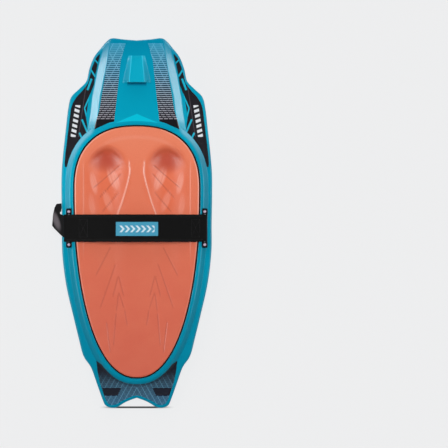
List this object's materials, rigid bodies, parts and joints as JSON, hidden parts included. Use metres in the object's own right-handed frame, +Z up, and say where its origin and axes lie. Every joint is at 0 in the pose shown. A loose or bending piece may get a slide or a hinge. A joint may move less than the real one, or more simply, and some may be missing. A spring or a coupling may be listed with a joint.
{
  "type": "kneeboard",
  "caption": "Rotomoulded kneeboard with a foam core, contoured knee pad, moulded tow hook, hull strakes and fins, and a padded thigh strap that hinges on its side brackets.",
  "frame": {"origin": "on the flat centre panel of the hull, on the board's centre line midway between the foremost and rearmost points", "axes": "+Y along the board towards the nose, +X to the board's right, +Z up through the deck"},
  "size_m": [0.5437, 1.25, 0.1501],
  "materials": {
    "shell": "satin gloss moulded polyethylene",
    "foam": "cast polyurethane foam",
    "plug": "matte",
    "pad_base": "matte closed-cell foam",
    "pad": "matte moulded closed-cell foam",
    "decal": "printed vinyl",
    "bracket_plastic": "moulded nylon",
    "steel": "stainless",
    "brass": "knurled",
    "webbing": "woven nylon",
    "neoprene": "knit-faced neoprene",
    "label": "printed woven label",
    "hook_and_loop": "hook and loop tape",
    "tab_lining": "knit loop lining"
  },
  "bodies": {
    "board": {"shell": "shell", "foam_core": "foam", "fill_plug": "plug", "pad_base": "pad_base", "knee_pad": "pad", "nose_decal_left": "decal", "nose_decal_right": "decal", "wing_decal_left": "decal", "wing_decal_right": "decal", "tail_decal": "decal", "strap_bracket_left": "bracket_plastic", "strap_bracket_right": "bracket_plastic", "bracket_bar_left": "steel", "bracket_bar_right": "steel", "screw_left_front": "steel", "screw_left_rear": "steel", "screw_right_front": "steel", "screw_right_rear": "steel", "insert_left_front": "brass", "insert_left_rear": "brass", "insert_right_front": "brass", "insert_right_rear": "brass"},
    "strap": {"strap_webbing": "webbing", "strap_padding": "neoprene", "strap_label": "label", "loop_patch": "hook_and_loop"},
    "anchor": {"anchor_strap": "webbing", "hook_patch": "hook_and_loop"},
    "tab": {"pull_tab": "webbing", "tab_lining": "tab_lining"}
  },
  "joints": [
    {"name": "strap_swing", "type": "hinge", "parent": "board", "child": "strap", "pos_m": [0.23, -0.015, 0.066], "axis": [0, 1, 0], "range_deg": [0, 135]},
    {"name": "anchor_swing", "type": "hinge", "parent": "board", "child": "anchor", "pos_m": [-0.23, -0.015, 0.066], "axis": [0, -1, 0], "range_deg": [0, 47.5]},
    {"name": "tab_lift", "type": "hinge", "parent": "strap", "child": "tab", "pos_m": [-0.2474, -0.015, 0.0697], "axis": [0, 1, 0], "range_deg": [0, 90]}
  ],
  "couplings": [
    {"joint": "anchor_swing", "follows": "strap_swing", "ratio": 0.35}
  ]
}
